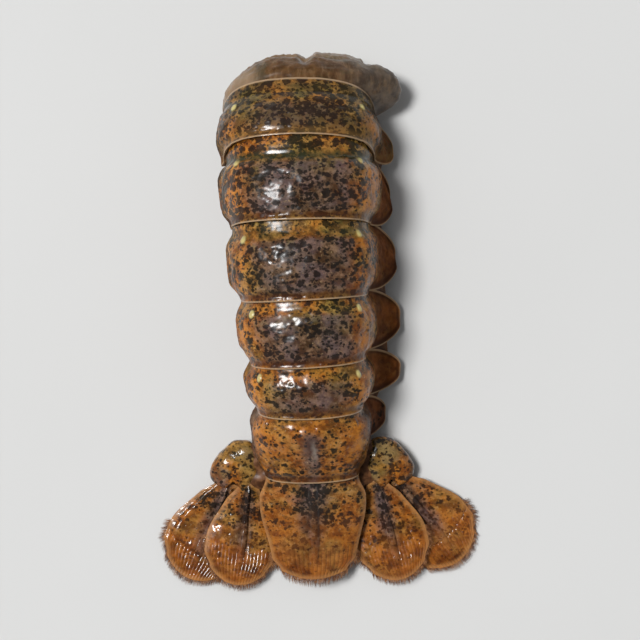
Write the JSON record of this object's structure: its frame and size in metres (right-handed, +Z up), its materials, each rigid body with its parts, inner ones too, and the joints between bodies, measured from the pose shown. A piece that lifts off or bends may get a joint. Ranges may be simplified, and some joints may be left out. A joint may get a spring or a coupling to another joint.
{
  "type": "raw cold water lobster tail",
  "caption": "Raw lobster tail lying on its belly: speckled shell rings hinged round a core of meat that shows at the cut front, with side flaps, folded swimmerets and a tail fan of flat blades.",
  "frame": {"origin": "on the table under the middle of the whole tail", "axes": "+Y from the fan towards the cut front where the meat shows, +X to the tail's right as the picture shows it from above, +Z up, out of the back"},
  "size_m": [0.0871, 0.1479, 0.0365],
  "materials": {
    "meat": "wet translucent raw flesh, pale grey beige",
    "shell": "wet shell, ochre and orange under dense black, olive and purple-brown speckles",
    "fan": "thin wet shell, orange brown with dark speckles",
    "swimmeret": "thin damp skin, translucent orange brown"
  },
  "bodies": {
    "root": {"meat": "meat", "ring_1": "shell", "ring_2": "shell", "ring_3": "shell", "ring_4": "shell", "ring_5": "shell", "ring_6": "shell", "fan_plate": "fan", "fan_base_left": "fan", "fan_base_right": "fan", "fan_inner_left": "fan", "fan_inner_right": "fan", "fan_outer_left": "fan", "fan_outer_right": "fan", "swimmeret_2_left": "swimmeret", "swimmeret_2_right": "swimmeret", "swimmeret_3_left": "swimmeret", "swimmeret_3_right": "swimmeret", "swimmeret_4_left": "swimmeret", "swimmeret_4_right": "swimmeret", "swimmeret_5_left": "swimmeret", "swimmeret_5_right": "swimmeret"}
  },
  "joints": []
}
